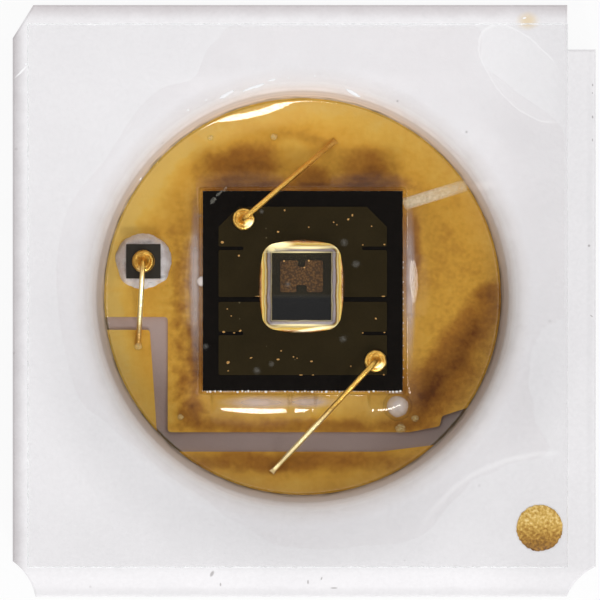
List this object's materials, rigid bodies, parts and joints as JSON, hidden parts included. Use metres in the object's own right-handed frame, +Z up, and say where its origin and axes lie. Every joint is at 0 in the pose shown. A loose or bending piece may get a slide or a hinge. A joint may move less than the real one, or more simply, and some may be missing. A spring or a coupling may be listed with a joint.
{
  "type": "surface-mount led",
  "caption": "Square white ceramic package with a flat glass lid over a round gold-floored cavity, holding a wire-bonded flip-chip die on a submount and a protection diode.",
  "frame": {"origin": "centre of the underside, in the plane of the solder pads' faces", "axes": "+Z up through the glass lid, +X to the right and +Y to the rear as the picture shows the package from above, with the polarity mark at +X, -Y"},
  "size_m": [0.0034, 0.0036, 0.0014],
  "materials": {
    "white_ceramic": "white co-fired alumina, finely grained and slightly translucent",
    "gold_plating": "matt gold plating over a printed tungsten layer",
    "gold_mark": "grainy gold plating with a ragged edge",
    "gold_wire": "bright drawn gold wire",
    "via_fill": "sintered tungsten",
    "lid_glass": "clear flat glass with diced, slightly chipped edges",
    "clear_adhesive": "clear cured adhesive that wets the ceramic unevenly",
    "clear_resin": "clear glossy silicone with a hollow surface",
    "black_silicon": "polished black silicon with diced edges",
    "dark_track": "dark olive metal film with bright specks",
    "die_sapphire": "polished sapphire over a dark mirror layer",
    "p_contact_metal": "brown metal film seen through the die",
    "n_contact_metal": "grey metal film seen through the die",
    "solder": "reflowed gold-tin solder",
    "silver_epoxy": "silver-filled conductive epoxy"
  },
  "bodies": {
    "root": {"ceramic_body": "white_ceramic", "floor_pad_main": "gold_plating", "floor_pad_second": "gold_plating", "solder_pad_main": "gold_plating", "solder_pad_thermal": "gold_plating", "solder_pad_second": "gold_plating", "via_main_left": "via_fill", "via_main_right": "via_fill", "via_second_left": "via_fill", "via_second_right": "via_fill", "polarity_mark": "gold_mark", "glass_lid": "lid_glass", "lid_adhesive": "clear_adhesive", "submount": "black_silicon", "submount_bond": "silver_epoxy", "submount_track_upper": "dark_track", "submount_track_lower": "dark_track", "led_die": "die_sapphire", "p_contact": "p_contact_metal", "n_contact": "n_contact_metal", "p_solder": "solder", "n_solder": "solder", "die_fillet": "clear_resin", "diode_chip": "black_silicon", "diode_pad": "gold_plating", "diode_epoxy": "silver_epoxy", "wire_upper": "gold_wire", "wire_lower": "gold_wire", "wire_diode": "gold_wire", "cavity_resin": "clear_resin"}
  },
  "joints": []
}
